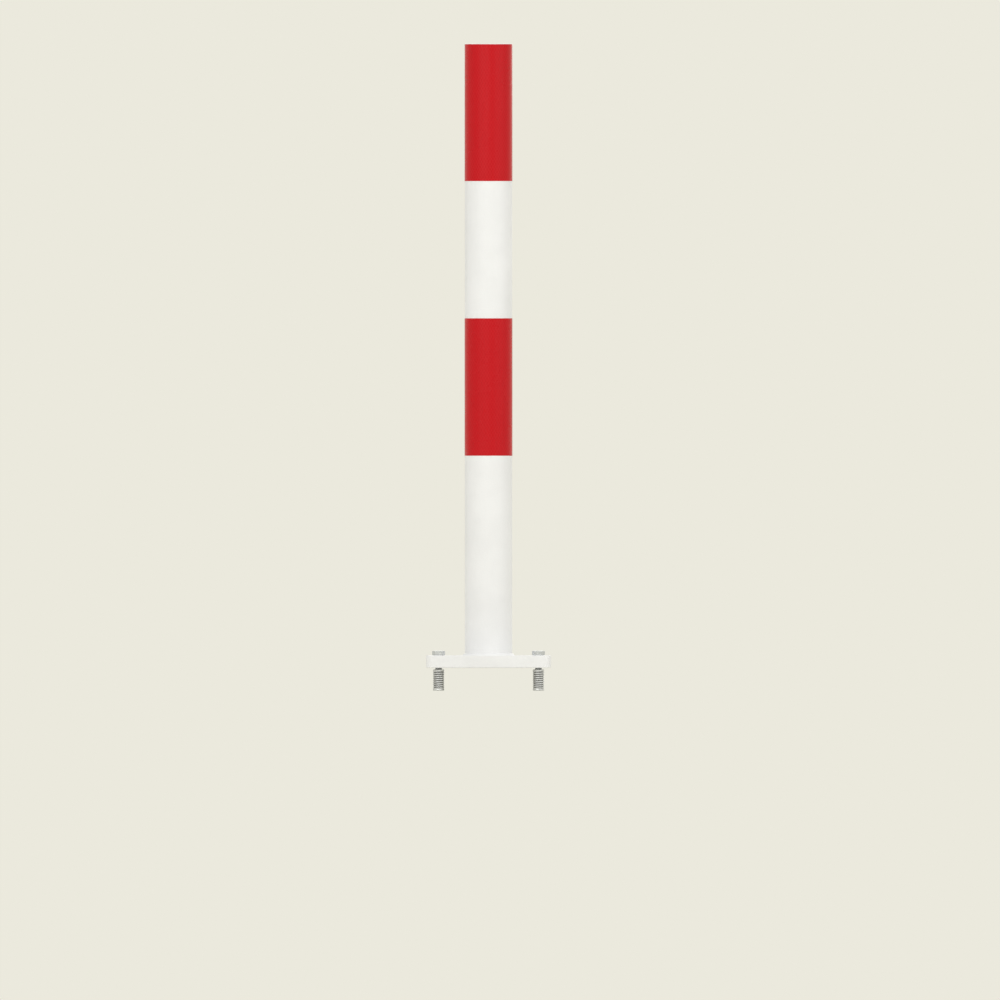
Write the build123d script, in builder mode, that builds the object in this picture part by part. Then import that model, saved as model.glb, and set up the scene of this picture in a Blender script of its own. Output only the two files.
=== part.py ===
# A round steel barrier post on a square base plate that four bolts hold down.
# Lengths are in millimetres. Z = 0 is the underside of the plate, +Z is up and -Y is the front.
from build123d import *

import os
from math import radians, tan

# Post: a round tube that stands on the plate, with a disc let into its upper end.
post_height = 1000
tube_diameter = 76
tube_wall = 2.6
tube_edge_radius = 0.8
cap_thickness = 5
cap_clearance = 0.2
rim_land = 0.2

# Base plate: square, with a bolt hole near each corner and a drain hole under the tube.
plate_side = 200
plate_thickness = 20
plate_corner_radius = 10
plate_edge_radius = 1.2
hole_inset = 20
hole_edge_break = 0.5
drain_diameter = 20
base_weld_leg = 3.5
base_weld_crown = 0.4

# Red bands: reflective film that goes once round the tube and laps over itself at the back.
band_height = 220
band_gap = 220
film_thickness = 0.3
film_lap = 12
adhesive_thickness = 0.05

# Anchor bolts: hexagon head with a round bearing face, and a metric thread that is left plain.
bolt_diameter = 12
bolt_length = 50
bolt_tip_chamfer = 1.2
hole_clearance = 2
head_across_flats = 18
head_height = 7.5
crown_inset = 0.45
crown_angle = 30
bearing_face_inset = 0.7
bearing_face_height = 0.5

# Anchor sleeves: closed below, and set a little lower than the plate so that it lies flat.
sleeve_wall = 2.9
sleeve_floor = 4
sleeve_recess = 2.5
sleeve_edge_break = 0.8
thread_clearance = 0.1
bolt_end_clearance = 2.5

# Sizes that follow from those above.
tube_radius = tube_diameter / 2
tube_bore_radius = tube_radius - tube_wall
cap_radius = tube_bore_radius - cap_clearance
cap_weld_depth = tube_wall - tube_edge_radius - rim_land
film_inner_radius = tube_radius + adhesive_thickness
film_outer_radius = film_inner_radius + film_thickness
lower_band_top = post_height - band_height - band_gap
band_reaches = {
    "upper_red_band": (post_height - band_height, post_height - tube_edge_radius),
    "lower_red_band": (lower_band_top - band_height, lower_band_top),
}
hole_spacing = plate_side - 2 * hole_inset
hole_radius = (bolt_diameter + hole_clearance) / 2
head_top = plate_thickness + head_height
crown_radius = head_across_flats / 2 - crown_inset
bearing_face_radius = head_across_flats / 2 - bearing_face_inset
bolt_end = plate_thickness - bolt_length
sleeve_bore_radius = bolt_diameter / 2 + thread_clearance
sleeve_radius = sleeve_bore_radius + sleeve_wall
sleeve_bore_depth = bolt_end_clearance - bolt_end - sleeve_recess
sleeve_length = sleeve_bore_depth + sleeve_floor
corners = {
    "front_left": (-hole_spacing / 2, -hole_spacing / 2),
    "front_right": (hole_spacing / 2, -hole_spacing / 2),
    "back_left": (-hole_spacing / 2, hole_spacing / 2),
    "back_right": (hole_spacing / 2, hole_spacing / 2),
}

os.makedirs("parts", exist_ok=True)

# Base plate: its outer edges are rounded, and its bolt holes are slightly broken at both ends
with BuildPart() as base_plate:
    with BuildSketch():
        RectangleRounded(plate_side, plate_side, plate_corner_radius)
    extrude(amount=plate_thickness)
    fillet(base_plate.faces().filter_by(Axis.Z).edges(), radius=plate_edge_radius)
    with Locations((0, 0, plate_thickness)):
        Hole(radius=drain_diameter / 2)
    plain_rims = base_plate.faces().filter_by(Axis.Z).edges()
    with Locations((0, 0, plate_thickness)):
        with GridLocations(hole_spacing, hole_spacing, 2, 2):
            Hole(radius=hole_radius)
    bolt_hole_rims = base_plate.faces().filter_by(Axis.Z).edges() - plain_rims
    chamfer(bolt_hole_rims, length=hole_edge_break)
base_plate.part.label = "base_plate"
export_step(base_plate.part, "parts/base_plate.step")

# Tube: its upper end is rounded outside and bevelled inside for the weld round the cap
with BuildPart() as post_tube:
    with BuildSketch(Plane.XY.offset(plate_thickness)):
        Circle(tube_radius)
        Circle(tube_bore_radius, mode=Mode.SUBTRACT)
    extrude(amount=post_height - plate_thickness)
    outer_rim = post_tube.faces().sort_by(Axis.Z)[-1].edges().sort_by(SortBy.RADIUS)[-1]
    fillet(outer_rim, radius=tube_edge_radius)
    bore_rim = post_tube.faces().sort_by(Axis.Z)[-1].edges().sort_by(SortBy.RADIUS)[0]
    chamfer(bore_rim, length=cap_weld_depth)
post_tube.part.label = "post_tube"
export_step(post_tube.part, "parts/post_tube.step")

# Cap: a disc flush with the tube's end, bevelled on top for the same weld
with BuildPart() as top_cap:
    with BuildSketch(Plane.XY.offset(post_height)):
        Circle(cap_radius)
    extrude(amount=-cap_thickness)
    chamfer(top_cap.edges().sort_by(Axis.Z)[-1], length=cap_weld_depth)
top_cap.part.label = "top_cap"
export_step(top_cap.part, "parts/top_cap.step")

# Cap weld: fills the groove between tube and cap, and is flush with both
with BuildPart() as cap_weld:
    with BuildSketch(Plane.XZ):
        with BuildLine():
            Polyline(
                (cap_radius - cap_weld_depth, post_height),
                (tube_bore_radius + cap_weld_depth, post_height),
                (tube_bore_radius, post_height - cap_weld_depth),
                (cap_radius, post_height - cap_weld_depth),
                close=True,
            )
        make_face()
    revolve(axis=Axis.Z)
cap_weld.part.label = "cap_weld"
export_step(cap_weld.part, "parts/cap_weld.step")

# Base weld: a slightly crowned fillet weld round the foot of the tube
with BuildPart() as base_weld:
    with BuildSketch(Plane.XZ):
        with BuildLine():
            inner_corner = (tube_radius, plate_thickness)
            plate_toe = (tube_radius + base_weld_leg, plate_thickness)
            tube_toe = (tube_radius, plate_thickness + base_weld_leg)
            Line(inner_corner, plate_toe)
            SagittaArc(plate_toe, tube_toe, -base_weld_crown)
            Line(tube_toe, inner_corner)
        make_face()
    revolve(axis=Axis.Z)
base_weld.part.label = "base_weld"
export_step(base_weld.part, "parts/base_weld.step")

# Red bands: a thin ring of film each, doubled over a short stretch where its end laps over its start
for name, (bottom, top) in band_reaches.items():
    with BuildPart() as red_band:
        with BuildSketch(Plane.XY.offset(bottom)):
            Circle(film_outer_radius + film_thickness)
            Rectangle(film_lap, tube_diameter, align=(Align.CENTER, Align.MIN), mode=Mode.INTERSECT)
            Circle(film_outer_radius)
            Circle(film_inner_radius, mode=Mode.SUBTRACT)
        extrude(amount=top - bottom)
    red_band.part.label = name
    export_step(red_band.part, f"parts/{name}.step")

for place, (x, y) in corners.items():
    # Bolt: the head's corners point left and right, and a cone takes off its upper edges
    with BuildPart() as anchor_bolt:
        with BuildSketch(Plane((x, y, plate_thickness))):
            RegularPolygon(head_across_flats / 2, 6, major_radius=False)
        extrude(amount=head_height)
        with BuildSketch(Plane((x, y, 0), x_dir=(1, 0, 0), z_dir=(0, -1, 0))):
            with BuildLine():
                cone_drop = (head_across_flats - crown_radius) * tan(radians(crown_angle))
                Polyline(
                    (0, plate_thickness),
                    (bearing_face_radius, plate_thickness),
                    (bearing_face_radius, plate_thickness + bearing_face_height),
                    (head_across_flats, plate_thickness + bearing_face_height),
                    (head_across_flats, head_top - cone_drop),
                    (crown_radius, head_top),
                    (0, head_top),
                    close=True,
                )
            make_face()
        revolve(axis=Axis((x, y, 0), (0, 0, 1)), mode=Mode.INTERSECT)
        with BuildSketch(Plane((x, y, plate_thickness))):
            Circle(bolt_diameter / 2)
        extrude(amount=-bolt_length)
        chamfer(anchor_bolt.edges().sort_by(Axis.Z)[0], length=bolt_tip_chamfer)
    anchor_bolt.part.label = f"anchor_bolt_{place}"
    export_step(anchor_bolt.part, f"parts/anchor_bolt_{place}.step")

    # Sleeve: takes the bolt's lower end, and its own upper and lower edges are broken
    with BuildPart() as anchor_sleeve:
        with BuildSketch(Plane((x, y, -sleeve_recess))):
            Circle(sleeve_radius)
        extrude(amount=-sleeve_length)
        chamfer(anchor_sleeve.edges().filter_by(GeomType.CIRCLE), length=sleeve_edge_break)
        with Locations((x, y, -sleeve_recess)):
            Hole(radius=sleeve_bore_radius, depth=sleeve_bore_depth)
    anchor_sleeve.part.label = f"anchor_sleeve_{place}"
    export_step(anchor_sleeve.part, f"parts/anchor_sleeve_{place}.step")
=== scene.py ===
from math import atan2, cos, pi, radians, sin, tan

import bmesh
import bpy
from mathutils import Matrix, Vector
from mathutils.geometry import tessellate_polygon


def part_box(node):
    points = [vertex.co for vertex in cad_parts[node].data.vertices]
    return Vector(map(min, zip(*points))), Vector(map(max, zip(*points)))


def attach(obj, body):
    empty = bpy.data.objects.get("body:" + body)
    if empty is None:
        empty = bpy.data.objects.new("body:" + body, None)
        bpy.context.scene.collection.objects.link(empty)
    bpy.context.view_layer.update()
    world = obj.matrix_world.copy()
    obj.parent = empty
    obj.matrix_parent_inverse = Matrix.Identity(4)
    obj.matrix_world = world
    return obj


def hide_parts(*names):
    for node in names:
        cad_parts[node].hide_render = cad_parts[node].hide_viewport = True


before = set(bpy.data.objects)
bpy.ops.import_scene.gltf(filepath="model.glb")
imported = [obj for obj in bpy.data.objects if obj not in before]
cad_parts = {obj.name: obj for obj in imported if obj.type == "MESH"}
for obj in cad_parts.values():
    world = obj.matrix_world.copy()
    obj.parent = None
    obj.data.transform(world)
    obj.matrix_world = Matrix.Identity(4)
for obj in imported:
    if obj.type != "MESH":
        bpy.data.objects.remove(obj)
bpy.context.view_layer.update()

# Base plate
# A thick square of steel with rounded corners, its edges rounded off and its bolt holes and drain
# hole drilled through. The whole welded post is powder coated white in one go, the plate with it.
plate_low, plate_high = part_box("base_plate")
plate_corner_radius = 0.010
plate_edge_radius = 0.0012
bolt_hole_radius = 0.007
bolt_hole_edge_radius = 0.0005
drain_radius = 0.010
drain_edge_radius = 0.0003
edge_steps = 5
corner_steps = 16
hole_steps = 64
sharp_angle = radians(35)
white_thin = (0.86, 0.86, 0.85, 1)
white_full = (0.92, 0.92, 0.91, 1)
peel_size = 0.0021
peel_height = 0.0002
coat_drift_size = 0.075
coat_roughness = (0.28, 0.36)
coat_specular = 0.4
grain_detail = 2
drift_detail = 4
drift_span = (0.3, 0.7)
first_colour_socket = 6
second_colour_socket = 7
mixed_colour_socket = 2


def rounded_wall(outline_at, radius):
    """The loops of points of a slab's wall, from underside to top, rounded at both edges. The outline
    follows from how far it lies inside the wall."""
    turns = [step / edge_steps * pi / 2 for step in range(edge_steps + 1)]
    insets = [radius * (1 - sin(turn)) for turn in turns]
    drops = [radius * (1 - cos(turn)) for turn in turns]
    levels = [(inset, plate_low.z + drop) for inset, drop in zip(insets, drops)]
    levels += [(inset, plate_high.z - drop) for inset, drop in zip(reversed(insets), reversed(drops))]
    return [[Vector((x, y, height)) for x, y in outline_at(inset)] for inset, height in levels]


def square_outline(inset):
    """The plate's outline, anticlockwise, that far inside its wall."""
    radius = plate_corner_radius - inset
    middle = plate_high.x - plate_corner_radius
    outline = []
    for quarter in range(4):
        spin = Matrix.Rotation(quarter * pi / 2, 2)
        for step in range(corner_steps + 1):
            turn = step / corner_steps * pi / 2
            outline.append(spin @ Vector((middle + radius * cos(turn), middle + radius * sin(turn))))
    return outline


def hole_wall(centre, radius, edge_radius):
    """The wall of a drilled hole, which opens out at its rounded edges."""
    def outline(inset):
        reach = radius + inset
        turns = [2 * pi * i / hole_steps for i in range(hole_steps)]
        return [(centre.x + reach * cos(turn), centre.y + reach * sin(turn)) for turn in turns]
    return rounded_wall(outline, edge_radius)


def as_mesh(name, shape):
    """The shape as a mesh of that name."""
    mesh = bpy.data.meshes.new(name)
    shape.to_mesh(mesh)
    shape.free()
    return mesh


def outward_mesh(name, shape):
    """The shape as a mesh of that name, its faces turned outwards."""
    bmesh.ops.recalc_face_normals(shape, faces=shape.faces)
    return as_mesh(name, shape)


def drilled_slab(name, walls):
    """A slab between its outer wall, which comes first, and the walls of its holes."""
    shape = bmesh.new()
    rings = [[[shape.verts.new(point) for point in loop] for loop in wall] for wall in walls]
    for wall in rings:
        for lower, upper in zip(wall, wall[1:]):
            for i in range(len(lower)):
                j = (i + 1) % len(lower)
                shape.faces.new((lower[i], lower[j], upper[j], upper[i]))
    for end in (0, -1):
        rim = [point for wall in rings for point in wall[end]]
        for a, b, c in tessellate_polygon([wall[end] for wall in walls]):
            shape.faces.new((rim[a], rim[b], rim[c]))
    return outward_mesh(name, shape)


def settle(piece):
    """Makes what the piece's modifiers show its own plain mesh, and takes the modifiers off."""
    shown = piece.evaluated_get(bpy.context.evaluated_depsgraph_get())
    mesh = bpy.data.meshes.new_from_object(shown)
    piece.modifiers.clear()
    piece.data = mesh
    return piece


def dress(piece, material):
    """Gives the piece its material, and shading that is flat on flats, smooth on curves and sharp at
    edges."""
    piece.data.materials.clear()
    piece.data.materials.append(material)
    piece.data.shade_smooth()
    piece.data.set_sharp_from_angle(angle=sharp_angle)
    piece.modifiers.new("shading", "WEIGHTED_NORMAL").keep_sharp = True
    return settle(piece)


def new_object(name, mesh):
    """An object at the origin that shows the mesh."""
    piece = bpy.data.objects.new(name, mesh)
    bpy.context.scene.collection.objects.link(piece)
    return piece


def new_piece(mesh, material):
    """A finished piece with the mesh's name."""
    return dress(new_object(mesh.name, mesh), material)


class Wire:
    """What comes out of a node. Plain arithmetic on it adds the Math nodes that work it out."""

    def __init__(self, socket):
        self.socket = socket
        self.tree = socket.id_data

    def __add__(self, other):
        return calc("ADD", self, other)

    def __radd__(self, other):
        return calc("ADD", other, self)

    def __sub__(self, other):
        return calc("SUBTRACT", self, other)

    def __rsub__(self, other):
        return calc("SUBTRACT", other, self)

    def __mul__(self, other):
        return calc("MULTIPLY", self, other)

    def __rmul__(self, other):
        return calc("MULTIPLY", other, self)

    def __truediv__(self, other):
        return calc("DIVIDE", self, other)

    def __rtruediv__(self, other):
        return calc("DIVIDE", other, self)

    def __abs__(self):
        return calc("ABSOLUTE", self)


def feed(node, inputs):
    """Gives each of the inputs, by name or by number, its value, its wire or its list of wires."""
    for name, value in inputs.items():
        for source in value if isinstance(value, list) else [value]:
            if isinstance(source, Wire):
                node.id_data.links.new(source.socket, node.inputs[name])
            else:
                node.inputs[name].default_value = source


def add_node(tree, kind, inputs=None, **settings):
    """Adds a node of that kind, and gives what comes out of it as wires, by name and by number."""
    node = tree.nodes.new(kind)
    for name, value in settings.items():
        setattr(node, name, value)
    feed(node, inputs or {})
    wires = {socket.name: Wire(socket) for socket in node.outputs}
    wires.update(enumerate(Wire(socket) for socket in node.outputs))
    return wires


def calc(operation, *terms):
    """What a Math node makes of those terms, each a wire or a number."""
    tree = next(term.tree for term in terms if isinstance(term, Wire))
    return add_node(tree, "ShaderNodeMath", dict(enumerate(terms)), operation=operation)[0]


def rescaled(value, low, high):
    """The value as a share of the way from low to high, kept between 0 and 1."""
    return add_node(value.tree, "ShaderNodeMapRange", {
        "Value": value, "From Min": low, "From Max": high,
    })[0]


def blended(share, first, second):
    """The colour that lies that share of the way from the first colour to the second."""
    return add_node(share.tree, "ShaderNodeMix", {
        "Factor": share, first_colour_socket: first, second_colour_socket: second,
    }, data_type="RGBA")[mixed_colour_socket]


def bumped(height, depth, **settings):
    """The normal of a surface that a height between 0 and 1 raises by up to that depth."""
    return add_node(height.tree, "ShaderNodeBump", {"Height": height, "Distance": depth}, **settings)[0]


def noise(place, size, detail):
    """Smooth noise with lumps of about that size."""
    sizes = {"Vector": place, "Scale": 1 / size, "Detail": detail}
    return add_node(place.tree, "ShaderNodeTexNoise", sizes)[0]


def new_group(name, kind, inputs, outputs):
    """An empty node group with those inputs and outputs, and what comes in as wires."""
    group = bpy.data.node_groups.new(name, kind)
    for in_out, sockets in (("INPUT", inputs), ("OUTPUT", outputs)):
        for socket_name, socket_type in sockets.items():
            group.interface.new_socket(socket_name, in_out=in_out, socket_type=f"NodeSocket{socket_type}")
    return group, add_node(group, "NodeGroupInput")


def grain_group():
    """A fine grain and a slow drift over a surface, with the roughness that the drift leaves."""
    group, given = new_group("surface_grain", "ShaderNodeTree", {
        "Grain Size": "Float", "Drift Size": "Float",
        "Least Roughness": "Float", "Most Roughness": "Float",
    }, {"Grain": "Float", "Drift": "Float", "Roughness": "Float"})
    place = add_node(group, "ShaderNodeTexCoord")["Object"]
    grain = noise(place, given["Grain Size"], grain_detail)
    drift = rescaled(noise(place, given["Drift Size"], drift_detail), *drift_span)
    roughness = given["Least Roughness"] + drift * (given["Most Roughness"] - given["Least Roughness"])
    add_node(group, "NodeGroupOutput", {"Grain": grain, "Drift": drift, "Roughness": roughness})
    return group


surface_grain = grain_group()


def finish(name, grain_size, drift_size, roughness):
    """A new material of that least and most roughness, its shader and its grain."""
    material = bpy.data.materials.new(name)
    material.use_nodes = True
    grain = add_node(material.node_tree, "ShaderNodeGroup", {
        "Grain Size": grain_size, "Drift Size": drift_size,
        "Least Roughness": roughness[0], "Most Roughness": roughness[1],
    }, node_tree=surface_grain)
    surface = material.node_tree.nodes["Principled BSDF"]
    feed(surface, {"Roughness": grain["Roughness"]})
    return material, surface, grain


coating, surface, grain = finish("white_powder_coat", peel_size, coat_drift_size, coat_roughness)
feed(surface, {
    "Base Color": blended(grain["Drift"], white_thin, white_full),
    "Specular IOR Level": coat_specular,
    "Normal": bumped(grain["Grain"], peel_height),
})

corners = {}
for node in sorted(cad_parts):
    if node.startswith("anchor_bolt_"):
        low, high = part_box(node)
        corners[node.removeprefix("anchor_bolt_")] = Vector(((low.x + high.x) / 2, (low.y + high.y) / 2, 0))

plate_walls = [rounded_wall(square_outline, plate_edge_radius)]
for centre in corners.values():
    plate_walls.append(hole_wall(centre, bolt_hole_radius, bolt_hole_edge_radius))
plate_walls.append(hole_wall(Vector((0, 0)), drain_radius, drain_edge_radius))
plate = new_piece(drilled_slab("coated_base_plate", plate_walls), coating)
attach(plate, "root")
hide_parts("base_plate")

# Post tube
# A round steel tube with a thin wall, sawn square and stood on the plate. Its upper rim is rounded
# outside and bevelled inside, where the cap is welded in.
tube_low, tube_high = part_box("post_tube")
tube_radius = tube_high.x
tube_wall = 0.0026
rim_radius = 0.0008
rim_land = 0.0002
cap_weld_depth = tube_wall - rim_radius - rim_land
tube_bore_radius = tube_radius - tube_wall
round_steps = 192


def quarter_round(centre_r, centre_z, radius):
    """Points of a profile's rounded corner, from its outermost point up to its top."""
    turns = [step / edge_steps * pi / 2 for step in range(edge_steps + 1)]
    return [(centre_r + radius * cos(turn), centre_z + radius * sin(turn)) for turn in turns]


def turned(name, profile):
    """A solid turned about the upright axis. The profile, of radius and height, starts and ends on the
    axis, or else goes round a ring's section."""
    shape = bmesh.new()
    turns = [2 * pi * i / round_steps for i in range(round_steps)]
    circle = [(cos(turn), sin(turn)) for turn in turns]
    rings = []
    for radius, height in profile:
        if radius == 0:
            rings.append([shape.verts.new((0, 0, height))] * round_steps)
        else:
            rings.append([shape.verts.new((radius * x, radius * y, height)) for x, y in circle])
    closed = profile[0][0] > 0
    for k in range(len(rings) if closed else len(rings) - 1):
        here, there = rings[k], rings[(k + 1) % len(rings)]
        for i in range(round_steps):
            j = (i + 1) % round_steps
            # At the axis two of a face's four corners are one point, which it takes only once.
            shape.faces.new(dict.fromkeys((here[i], here[j], there[j], there[i])))
    return outward_mesh(name, shape)


tube_profile = [
    (tube_radius, tube_low.z),
    *quarter_round(tube_radius - rim_radius, tube_high.z - rim_radius, rim_radius),
    (tube_radius - rim_radius - rim_land, tube_high.z),
    (tube_bore_radius, tube_high.z - cap_weld_depth),
    (tube_bore_radius, tube_low.z),
]
tube = new_piece(turned("coated_post_tube", tube_profile), coating)
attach(tube, "root")
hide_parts("post_tube")

# Base weld
# The fillet weld that joins tube and plate, laid in one run round the foot. Its bead shows the
# ripples of the arc's steps, bowed along the run and a little uneven, softened by the coating.
weld_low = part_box("base_weld")[0]
weld_leg = 0.0034
weld_leg_wander = 0.12
weld_crown = 0.0003
ripple_count = 84
ripple_depth = 0.00035
ripple_bow = 0.45
ripple_unevenness = 0.9
ripple_noise_scale = 9
ripple_noise_detail = 3
ripple_seed = 3.0
steps_per_ripple = 8
bead_steps = 8
seam_gap = 0.000001


def finished_tree(group, surface, material):
    """Ends a tree: the surface's seams are closed, and it is made real in its material."""
    closed = add_node(group, "GeometryNodeMergeByDistance", {"Geometry": surface, "Distance": seam_gap})[0]
    real = add_node(group, "GeometryNodeRealizeInstances", {"Geometry": closed})[0]
    coated = add_node(group, "GeometryNodeSetMaterial", {"Geometry": real, "Material": material})[0]
    add_node(group, "NodeGroupOutput", {"Geometry": coated})
    return group


def sheet_to_bend(group, steps_round, rows):
    """A flat grid to be bent round an axis, and the turn and the row of each of its points."""
    sheet = add_node(group, "GeometryNodeMeshGrid", {
        "Size X": 2 * pi, "Size Y": rows, "Vertices X": steps_round + 1, "Vertices Y": rows + 1,
    })["Mesh"]
    position = add_node(group, "GeometryNodeInputPosition")[0]
    flat = add_node(group, "ShaderNodeSeparateXYZ", {"Vector": position})
    return sheet, flat["X"], flat["Y"] + rows / 2


def bent(sheet, turn, reach, height):
    """The sheet bent round the axis, to that distance from it and that height."""
    place = add_node(sheet.tree, "ShaderNodeCombineXYZ", {
        "X": calc("COSINE", turn) * reach,
        "Y": calc("SINE", turn) * reach,
        "Z": height,
    })[0]
    return add_node(sheet.tree, "GeometryNodeSetPosition", {"Geometry": sheet, "Position": place})[0]


def weld_bead_tree():
    """Bends a sheet round the foot of the tube, crowns it and puts the ripples on it. Its last two
    rows run under the bead, by the corner of tube and plate and back to the plate."""
    bead, given = new_group("weld_bead", "GeometryNodeTree", {
        "Geometry": "Geometry", "Tube Radius": "Float", "Foot Height": "Float", "Leg": "Float",
        "Crown": "Float", "Ripples": "Int", "Ripple Depth": "Float", "Bow": "Float", "Unevenness": "Float",
        "Seed": "Float", "Finish": "Material",
    }, {"Geometry": "Geometry"})
    sheet, turn, row = sheet_to_bend(bead, given["Ripples"] * steps_per_ripple, bead_steps + 2)
    climb = calc("MINIMUM", row / bead_steps, 1)
    on_bead = calc("LESS_THAN", row, bead_steps + 0.5)
    back_at_plate = calc("GREATER_THAN", row, bead_steps + 1.5)

    around = add_node(bead, "ShaderNodeCombineXYZ", {
        "X": calc("COSINE", turn), "Y": calc("SINE", turn),
    })[0]
    uneven = add_node(bead, "ShaderNodeTexNoise", {
        "Vector": around, "W": given["Seed"], "Scale": ripple_noise_scale, "Detail": ripple_noise_detail,
    }, noise_dimensions="4D")[0]
    wander = uneven - 0.5
    arch = 4 * climb * (1 - climb)
    steps_laid = turn * given["Ripples"] / (2 * pi) + arch * given["Bow"] + wander * given["Unevenness"]
    ripple = abs(calc("SINE", steps_laid * pi))
    swell = (given["Crown"] + ripple * given["Ripple Depth"]) * arch * on_bead * cos(pi / 4)
    leg = given["Leg"] * (1 + wander * weld_leg_wander)
    reach = given["Tube Radius"] + leg * (1 - climb + back_at_plate) + swell
    height = given["Foot Height"] + leg * climb * on_bead + swell
    return finished_tree(bead, bent(sheet, turn, reach, height), given["Finish"])


def shape_by_tree(name, tree, sizes, start=None):
    """A piece made by a node tree from those sizes, and from a starting mesh where it needs one."""
    piece = new_object(name, start or bpy.data.meshes.new(name))
    maker = piece.modifiers.new("maker", "NODES")
    maker.node_group = tree
    for socket in tree.interface.items_tree:
        if socket.name in sizes:
            maker[socket.identifier] = sizes[socket.name]
    settle(piece)
    shape = bmesh.new()
    shape.from_mesh(piece.data)
    piece.data = outward_mesh(name, shape)
    return dress(piece, sizes["Finish"])


weld = shape_by_tree("base_weld_bead", weld_bead_tree(), {
    "Tube Radius": tube_radius, "Foot Height": weld_low.z, "Leg": weld_leg, "Crown": weld_crown,
    "Ripples": ripple_count, "Ripple Depth": ripple_depth, "Bow": ripple_bow,
    "Unevenness": ripple_unevenness, "Seed": ripple_seed, "Finish": coating,
})
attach(weld, "root")
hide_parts("base_weld")

# Cap and its weld
# A steel disc let into the tube's end, its upper edge bevelled. The groove between disc and rim is
# filled with weld and dressed flush, so that only a shallow hollow shows under the coating.
cap_low, cap_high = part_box("top_cap")
cap_radius = cap_high.x
weld_hollow = 0.0002
weld_hollow_steps = 6

cap_profile = [
    (0, cap_high.z),
    (cap_radius - cap_weld_depth, cap_high.z),
    (cap_radius, cap_high.z - cap_weld_depth),
    (cap_radius, cap_low.z),
    (0, cap_low.z),
]
cap = new_piece(turned("coated_top_cap", cap_profile), coating)
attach(cap, "root")
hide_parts("top_cap")

groove_inner = cap_radius - cap_weld_depth
groove_outer = tube_bore_radius + cap_weld_depth
groove_bottom = cap_high.z - cap_weld_depth
cap_weld_profile = [(tube_bore_radius, groove_bottom), (cap_radius, groove_bottom)]
for step in range(weld_hollow_steps + 1):
    share = step / weld_hollow_steps
    radius = groove_inner + share * (groove_outer - groove_inner)
    cap_weld_profile.append((radius, cap_high.z - weld_hollow * sin(share * pi)))
cap_weld = new_piece(turned("flush_cap_weld", cap_weld_profile), coating)
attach(cap_weld, "root")
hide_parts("cap_weld")

# Red bands
# Reflective film with a sealed lattice under a clear face, stuck on over the white coating. Each
# strip goes once round the tube, and its end climbs over its start and is pressed down at the back.
adhesive_thickness = 0.00005
film_thickness = 0.0003
film_lap = 0.012
film_climb = 0.0015
film_edge = 0.00006
film_steps = 180
climb_steps = 4
lap_steps = 6
film_red = (0.54, 0.004, 0.008, 1)
seal_red = (0.64, 0.024, 0.030, 1)
# The dark red is painted shade, laid along the film's end edge where the lap steps up.
lap_shadow_red = (0.25, 0.010, 0.010, 1)
film_grain_size = 0.0009
film_drift_size = 0.05
film_roughness = (0.24, 0.32)
film_specular = 0.15
seal_spacing = 0.0046
seal_half_width = 0.0006
seal_slope = 0.55
seal_height = 0.00003
seal_share = 0.6
speckle_span = (0.45, 0.75)
speckle_share = 0.35
lap_shadow_line_width = 0.0006


def wrapped_film(name, low, high):
    """A strip of film round the tube, with the distance along it and its height as its own map."""
    inner = tube_radius + adhesive_thickness
    lap_turn, climb_turn = film_lap / inner, film_climb / inner
    start = pi / 2 - lap_turn / 2
    meet = start + 2 * pi
    turns = [start + 2 * pi * i / film_steps for i in range(film_steps)]
    turns = [turn for turn in turns if turn < meet - climb_turn]
    turns += [meet - climb_turn * (1 - i / climb_steps) for i in range(climb_steps + 1)]
    turns += [meet + lap_turn * (i + 1) / lap_steps for i in range(lap_steps)]
    shape = bmesh.new()
    film_map = shape.loops.layers.uv.new("film_map")
    to_end = shape.verts.layers.float.new("to_end")
    rings = []
    places = {}
    for turn in turns:
        lift = film_thickness * min(max((turn - meet + climb_turn) / climb_turn, 0), 1)
        near, far = inner + lift, inner + lift + film_thickness
        section = [
            (near, low), (far - film_edge, low), (far, low + film_edge),
            (far, high - film_edge), (far - film_edge, high), (near, high),
        ]
        ring = [shape.verts.new((r * cos(turn), r * sin(turn), z)) for r, z in section]
        for point in ring:
            places[point] = (turn * inner, point.co.z)
            point[to_end] = (turns[-1] - turn) * inner
        rings.append(ring)
    for here, there in zip(rings, rings[1:]):
        for i in range(len(here)):
            j = (i + 1) % len(here)
            shape.faces.new((here[i], there[i], there[j], here[j]))
    shape.faces.new(rings[0])
    shape.faces.new(reversed(rings[-1]))
    for face in shape.faces:
        for corner in face.loops:
            corner[film_map].uv = places[corner.vert]
    return outward_mesh(name, shape)


film, surface, grain = finish("red_reflective_film", film_grain_size, film_drift_size, film_roughness)
on_film = add_node(film.node_tree, "ShaderNodeUVMap", uv_map="film_map")["UV"]
run = add_node(film.node_tree, "ShaderNodeSeparateXYZ", {"Vector": on_film})
seals = []
for lean in (seal_slope, -seal_slope):
    cell = calc("FRACT", (run["X"] + run["Y"] * lean) / seal_spacing)
    seals.append(1 - rescaled(abs(cell - 0.5), 0, seal_half_width / seal_spacing))
seal = calc("MAXIMUM", *seals)
speckle = rescaled(grain["Grain"], *speckle_span)
patterned = blended(calc("MAXIMUM", seal * seal_share, speckle * speckle_share), film_red, seal_red)
from_end = add_node(film.node_tree, "ShaderNodeAttribute", attribute_name="to_end")["Fac"]
# A dark line is painted along the film's end as painted shadow at the step of the lap.
lap_shadow_line = 1 - rescaled(from_end, 0, lap_shadow_line_width)
feed(surface, {
    "Base Color": blended(lap_shadow_line, patterned, lap_shadow_red),
    "Specular IOR Level": film_specular,
    "Normal": bumped(seal, seal_height, invert=True),
})

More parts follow.
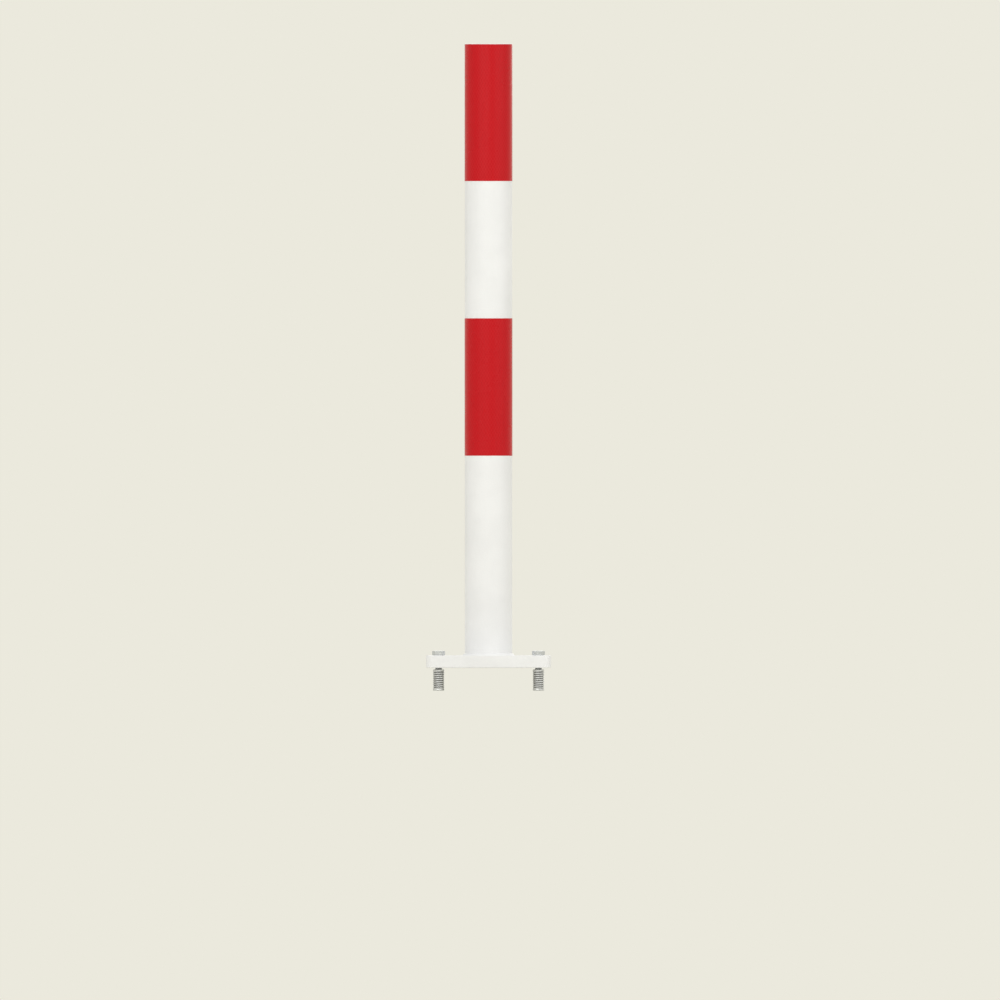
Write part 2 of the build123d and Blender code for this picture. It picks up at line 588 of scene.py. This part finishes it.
for node in ("upper_red_band", "lower_red_band"):
    band_low, band_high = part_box(node)
    band = new_piece(wrapped_film(f"{node}_film", band_low.z, band_high.z), film)
    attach(band, "root")
    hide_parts(node)

# Anchor bolts
# Zinc plated hexagon bolts. The head is cold formed, with a round bearing face below and a cone
# above that takes off its corners, and the thread is rolled on from the tip almost to the head.
bolt_radius = 0.006
bolt_tip_radius = 0.0048
thread_pitch = 0.00175
thread_depth = 0.00107
thread_crest = 1 / 8
thread_root = 3 / 4
thread_softness = 0.0
thread_runout = 0.0028
thread_tip_collar = 0.0
head_sides = 6
head_flats = 0.018
head_corner_radius = 0.00035
head_edge_radius = 0.0002
crown_radius = 0.00855
crown_tilt = radians(30)
crown_rounding = 0.00093
crown_rounding_steps = 3
bearing_radius = 0.0083
bearing_height = 0.0005
bolt_steps = 72
rows_per_pitch = 8
zinc_dull = (0.56, 0.58, 0.60, 1)
zinc_bright = (0.68, 0.70, 0.72, 1)
# Painted shade in the thread's roots, partly the duller plating that stays there.
zinc_shaded_thread = (0.42, 0.43, 0.45, 1)
zinc_grit_size = 0.0005
zinc_cloud_size = 0.004
zinc_roughness = (0.22, 0.30)
zinc_grit_height = 0.00002


def rolled_thread_tree():
    """Rolls a helical groove on an upright cylinder, joins it to the rest of the mesh at both ends and
    puts the whole where it belongs. The rows of the bent sheet climb with the helix."""
    rolled, given = new_group("rolled_thread", "GeometryNodeTree", {
        "Geometry": "Geometry", "Centre": "Vector", "Radius": "Float", "Depth": "Float", "Pitch": "Float",
        "Crest": "Float", "Root": "Float", "Softness": "Float", "Top": "Float", "Bottom": "Float",
        "Top Collar": "Float", "Bottom Collar": "Float", "Fade": "Float", "Top Radius": "Float",
        "Bottom Radius": "Float", "Around": "Int", "Finish": "Material",
    }, {"Geometry": "Geometry"})
    top, bottom, pitch = given["Top"], given["Bottom"], given["Pitch"]
    rows = calc("CEIL", ((top - bottom) / pitch + 1) * rows_per_pitch)
    sheet, turn, row = sheet_to_bend(rolled, given["Around"], rows)
    phase = calc("FRACT", (row + 0.5) / rows_per_pitch)
    from_crest = 1 - abs(2 * phase - 1)
    straight = rescaled(from_crest, given["Crest"], given["Root"])
    smooth = straight * straight * (3 - 2 * straight)
    groove = straight + (smooth - straight) * given["Softness"]

    level = ((row - rows / 2) / rows_per_pitch + turn / (2 * pi)) * pitch + (top + bottom) / 2
    height = calc("MAXIMUM", calc("MINIMUM", level, top), bottom)
    from_top, from_bottom = top - height, height - bottom
    for from_end, collar in ((from_top, given["Top Collar"]), (from_bottom, given["Bottom Collar"])):
        groove *= rescaled(from_end - collar, 0, given["Fade"])
    reach = given["Radius"] - groove * given["Depth"]
    for from_end, end_radius in ((from_top, given["Top Radius"]), (from_bottom, given["Bottom Radius"])):
        reach = calc("MINIMUM", reach, end_radius + from_end)
    marked = add_node(rolled, "GeometryNodeStoreNamedAttribute", {
        "Geometry": sheet, "Name": "groove", "Value": groove,
    })[0]
    both = add_node(rolled, "GeometryNodeJoinGeometry", {
        "Geometry": [given["Geometry"], bent(marked, turn, reach, height)],
    })[0]
    placed = add_node(rolled, "GeometryNodeTransform", {
        "Geometry": both, "Translation": given["Centre"],
    })[0]
    return finished_tree(rolled, placed, given["Finish"])


def round_ring(shape, radius, height):
    """A ring of points, as one run of one point for each step round a bolt."""
    turns = [2 * pi * i / bolt_steps for i in range(bolt_steps)]
    return [[shape.verts.new((radius * cos(turn), radius * sin(turn), height))] for turn in turns]


def hexagon_ring(shape, inset, height_at):
    """A hexagon with rounded corners, one of them to the right and one to the left, in the same runs as
    a round ring, with more points at each corner. The height follows from the distance to the axis."""
    flat = head_flats / 2
    half_side = pi / head_sides
    corner_centre = (flat - head_corner_radius) / cos(half_side)
    tangent_x = corner_centre + head_corner_radius * cos(half_side)
    tangent_turn = atan2(head_corner_radius * sin(half_side), tangent_x)
    steps_per_side = bolt_steps // head_sides
    step_turn = 2 * pi / bolt_steps
    ring = []
    for step in range(bolt_steps):
        offsets = [0]
        if step % steps_per_side == 0:
            offsets = [0, tangent_turn / 2, tangent_turn]
        elif step % steps_per_side == steps_per_side - 1:
            offsets = [0, step_turn - tangent_turn, step_turn - tangent_turn / 2]
        run = []
        for offset in offsets:
            turn = step * step_turn + offset
            from_corner = abs((turn + half_side) % (2 * half_side) - half_side)
            if from_corner < tangent_turn:
                sideways = corner_centre * sin(from_corner)
                reach = corner_centre * cos(from_corner) + (head_corner_radius**2 - sideways**2) ** 0.5
            else:
                reach = flat / cos(half_side - from_corner)
            reach -= inset
            run.append(shape.verts.new((reach * cos(turn), reach * sin(turn), height_at(reach))))
        ring.append(run)
    return ring


def join_rings(shape, rings):
    """Fills in between each ring and the next."""
    for first, second in zip(rings, rings[1:]):
        for i in range(len(first)):
            j = (i + 1) % len(first)
            one, other = first[i] + first[j][:1], second[i] + second[j][:1]
            if len(one) == len(other):
                for k in range(len(one) - 1):
                    shape.faces.new((one[k], one[k + 1], other[k + 1], other[k]))
            else:
                shape.faces.new(one + other[::-1])


def disc(shape, ring):
    """Closes a ring with one flat face."""
    shape.faces.new([point for run in ring for point in run])


def groove_shade_group():
    """Takes a colour towards a darker one where the rolled groove is deep: painted shade in the recess,
    partly dull plating.
    """
    group, given = new_group(
        "groove_shade", "ShaderNodeTree",
        {"Crest Colour": "Color", "Shaded Groove Colour": "Color"}, {"Colour": "Color"},
    )
    groove = add_node(group, "ShaderNodeAttribute", attribute_name="groove")["Fac"]
    colour = blended(groove, given["Crest Colour"], given["Shaded Groove Colour"])
    add_node(group, "NodeGroupOutput", {"Colour": colour})
    return group


groove_shade = groove_shade_group()


def zinc_finish(name, grit_size, cloud_size, roughness, dull, bright, shaded_groove, grit_height):
    """Zinc plating, cloudy from dull to bright, darkened in the grooves by painted shade and some dull
    plating, with a fine grit.
    """
    zinc, surface, grain = finish(name, grit_size, cloud_size, roughness)
    shade = add_node(zinc.node_tree, "ShaderNodeGroup", {
        "Crest Colour": blended(grain["Drift"], dull, bright), "Shaded Groove Colour": shaded_groove,
    }, node_tree=groove_shade)
    feed(surface, {
        "Base Color": shade["Colour"],
        "Metallic": 1,
        "Normal": bumped(grain["Grain"], grit_height),
    })
    return zinc


bolt_low, bolt_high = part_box("anchor_bolt_front_left")
head_under, head_top = plate_high.z, bolt_high.z

shape = bmesh.new()
head_rings = []
rounding_start = crown_radius - crown_rounding * tan(crown_tilt / 2)
for step in range(crown_rounding_steps + 1):
    turn = step / crown_rounding_steps * crown_tilt
    height = head_top - crown_rounding * (1 - cos(turn))
    head_rings.append(round_ring(shape, rounding_start + crown_rounding * sin(turn), height))
head_rings += [
    hexagon_ring(shape, 0, lambda reach: head_top - (reach - crown_radius) * tan(crown_tilt)),
    hexagon_ring(shape, 0, lambda reach: head_under + bearing_height + head_edge_radius),
    hexagon_ring(shape, head_edge_radius, lambda reach: head_under + bearing_height),
    round_ring(shape, bearing_radius, head_under + bearing_height),
    round_ring(shape, bearing_radius, head_under),
    round_ring(shape, bolt_radius, head_under),
]
join_rings(shape, head_rings)
disc(shape, head_rings[0])
disc(shape, round_ring(shape, bolt_tip_radius, bolt_low.z))
bolt_ends = as_mesh("bolt_ends", shape)

bright_zinc = zinc_finish(
    "bright_zinc", zinc_grit_size, zinc_cloud_size, zinc_roughness,
    zinc_dull, zinc_bright, zinc_shaded_thread, zinc_grit_height,
)
rolled_thread = rolled_thread_tree()
for corner, centre in corners.items():
    bolt = shape_by_tree(f"zinc_bolt_{corner}", rolled_thread, {
        "Centre": tuple(centre), "Radius": bolt_radius, "Depth": thread_depth, "Pitch": thread_pitch,
        "Crest": thread_crest, "Root": thread_root, "Softness": thread_softness,
        "Top": head_under, "Bottom": bolt_low.z, "Top Collar": thread_runout,
        "Bottom Collar": thread_tip_collar, "Fade": thread_pitch, "Top Radius": bolt_radius,
        "Bottom Radius": bolt_tip_radius, "Around": bolt_steps, "Finish": bright_zinc,
    }, bolt_ends)
    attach(bolt, "root")
    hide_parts(f"anchor_bolt_{corner}")

# Anchor sleeves
# Galvanised steel sleeves, closed below and threaded inside, that take the lower ends of the bolts
# under the plate. A coarse rounded groove rolled round the outside gives each its hold.
sleeve_low, sleeve_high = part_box("anchor_sleeve_front_left")
sleeve_radius = (sleeve_high.x - sleeve_low.x) / 2
sleeve_bore_radius = 0.0061
sleeve_floor = 0.004
sleeve_edge_break = 0.0008
sleeve_end_radius = sleeve_radius - sleeve_edge_break
mouth_break = 0.0005
groove_pitch = 0.0034
groove_depth = 0.001
groove_crest = 0.25
groove_root = 0.95
groove_softness = 1.0
groove_fade = groove_pitch / 2
sleeve_collar = 0.0018
sleeve_dull = (0.56, 0.57, 0.58, 1)
sleeve_bright = (0.76, 0.77, 0.78, 1)
# Painted shade in the bottoms of the grooves, partly duller zinc there.
sleeve_shaded_groove = (0.25, 0.25, 0.25, 1)
sleeve_grit_size = 0.0009
sleeve_cloud_size = 0.004
sleeve_roughness = (0.30, 0.48)
sleeve_grit_height = 0.00004

shape = bmesh.new()
bore_rings = [
    round_ring(shape, sleeve_end_radius, sleeve_high.z),
    round_ring(shape, sleeve_bore_radius + mouth_break, sleeve_high.z),
    round_ring(shape, sleeve_bore_radius, sleeve_high.z - mouth_break),
    round_ring(shape, sleeve_bore_radius, sleeve_low.z + sleeve_floor),
]
join_rings(shape, bore_rings)
disc(shape, bore_rings[-1])
disc(shape, round_ring(shape, sleeve_end_radius, sleeve_low.z))
sleeve_ends = as_mesh("sleeve_ends", shape)

galvanising = zinc_finish(
    "galvanised_zinc", sleeve_grit_size, sleeve_cloud_size, sleeve_roughness,
    sleeve_dull, sleeve_bright, sleeve_shaded_groove, sleeve_grit_height,
)
for corner, centre in corners.items():
    sleeve = shape_by_tree(f"grooved_sleeve_{corner}", rolled_thread, {
        "Centre": tuple(centre), "Radius": sleeve_radius, "Depth": groove_depth, "Pitch": groove_pitch,
        "Crest": groove_crest, "Root": groove_root, "Softness": groove_softness,
        "Top": sleeve_high.z, "Bottom": sleeve_low.z, "Top Collar": sleeve_collar,
        "Bottom Collar": sleeve_collar, "Fade": groove_fade, "Top Radius": sleeve_end_radius,
        "Bottom Radius": sleeve_end_radius, "Around": bolt_steps, "Finish": galvanising,
    }, sleeve_ends)
    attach(sleeve, "root")
    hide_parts(f"anchor_sleeve_{corner}")

# Floor, backdrop, light and camera
# A pale floor at the level of the sleeves' lower ends, an even pale backdrop, large soft lamps,
# and a camera that looks level at the front without perspective, as the drawing does.
backdrop_colour = (0.831, 0.815, 0.723, 1)
floor_side = 12
floor_roughness = (0.75, 0.85)
floor_grain_size = 0.002
floor_drift_size = 0.4
floor_specular = 0.1
floor_fade_start = 0.25
floor_fade_end = 1.5
nearest_backdrop_share = 0.5
sky_colour = (1, 1, 1, 1)
sky_strength = 0.54
lamps = {
    "key": {"place": (-1.6, -4.2, 3.4), "size": 6.0, "energy": 136},
    "fill": {"place": (3.4, -2.6, 2.6), "size": 4.6, "energy": 46},
    "back": {"place": (0.8, 3.8, 3.2), "size": 5.6, "energy": 80},
}
object_middle = Vector((0, 0, 0.48))
view_width = 1.602
camera_place = (0.0184, -3, 0.269)


def backdrop_share(tree):
    """1 where the backdrop is seen, mirrored or seen through, and 0 where it gives light."""
    path = add_node(tree, "ShaderNodeLightPath")
    mirrored = calc("MAXIMUM", path["Is Glossy Ray"], path["Is Transmission Ray"])
    return calc("MAXIMUM", path["Is Camera Ray"], mirrored)


world = bpy.data.worlds.new("studio")
world.use_nodes = True
sky = world.node_tree
sky.nodes.clear()
light_given = add_node(sky, "ShaderNodeBackground", {"Color": sky_colour, "Strength": sky_strength})[0]
light_seen = add_node(sky, "ShaderNodeBackground", {"Color": backdrop_colour, "Strength": 1})[0]
either = add_node(sky, "ShaderNodeMixShader", {0: backdrop_share(sky), 1: light_given, 2: light_seen})[0]
add_node(sky, "ShaderNodeOutputWorld", {"Surface": either})
bpy.context.scene.world = world

floor_shape = bmesh.new()
bmesh.ops.create_grid(floor_shape, x_segments=1, y_segments=1, size=floor_side / 2)
bmesh.ops.translate(floor_shape, verts=floor_shape.verts, vec=(0, 0, sleeve_low.z))
floor_paint, surface = finish("floor_paint", floor_grain_size, floor_drift_size, floor_roughness)[:2]
feed(surface, {"Base Color": backdrop_colour, "Specular IOR Level": floor_specular})
tree = floor_paint.node_tree
place = add_node(tree, "ShaderNodeTexCoord")["Object"]
distance = add_node(tree, "ShaderNodeVectorMath", {0: place}, operation="LENGTH")["Value"]
far_share = rescaled(distance, floor_fade_start, floor_fade_end)
share = nearest_backdrop_share + far_share * (1 - nearest_backdrop_share)
glow = add_node(tree, "ShaderNodeEmission", {"Color": backdrop_colour, "Strength": 1})[0]
painted = Wire(surface.outputs[0])
faded = add_node(tree, "ShaderNodeMixShader", {0: backdrop_share(tree) * share, 1: painted, 2: glow})[0]
feed(tree.nodes["Material Output"], {"Surface": faded})
floor = new_piece(outward_mesh("floor", floor_shape), floor_paint)

for name, lamp in lamps.items():
    light = bpy.data.lights.new(name, "AREA")
    light.size = lamp["size"]
    light.energy = lamp["energy"]
    stand = bpy.data.objects.new(name, light)
    stand.location = lamp["place"]
    aim = object_middle - stand.location
    stand.rotation_euler = aim.to_track_quat("-Z", "Y").to_euler()
    stand.visible_camera = False
    bpy.context.scene.collection.objects.link(stand)

camera = bpy.data.objects.new("camera", bpy.data.cameras.new("camera"))
camera.data.type = "ORTHO"
camera.data.ortho_scale = view_width
camera.location = camera_place
camera.rotation_euler = (pi / 2, 0, 0)
bpy.context.scene.collection.objects.link(camera)
bpy.context.scene.camera = camera
bpy.context.scene.view_settings.view_transform = "Standard"
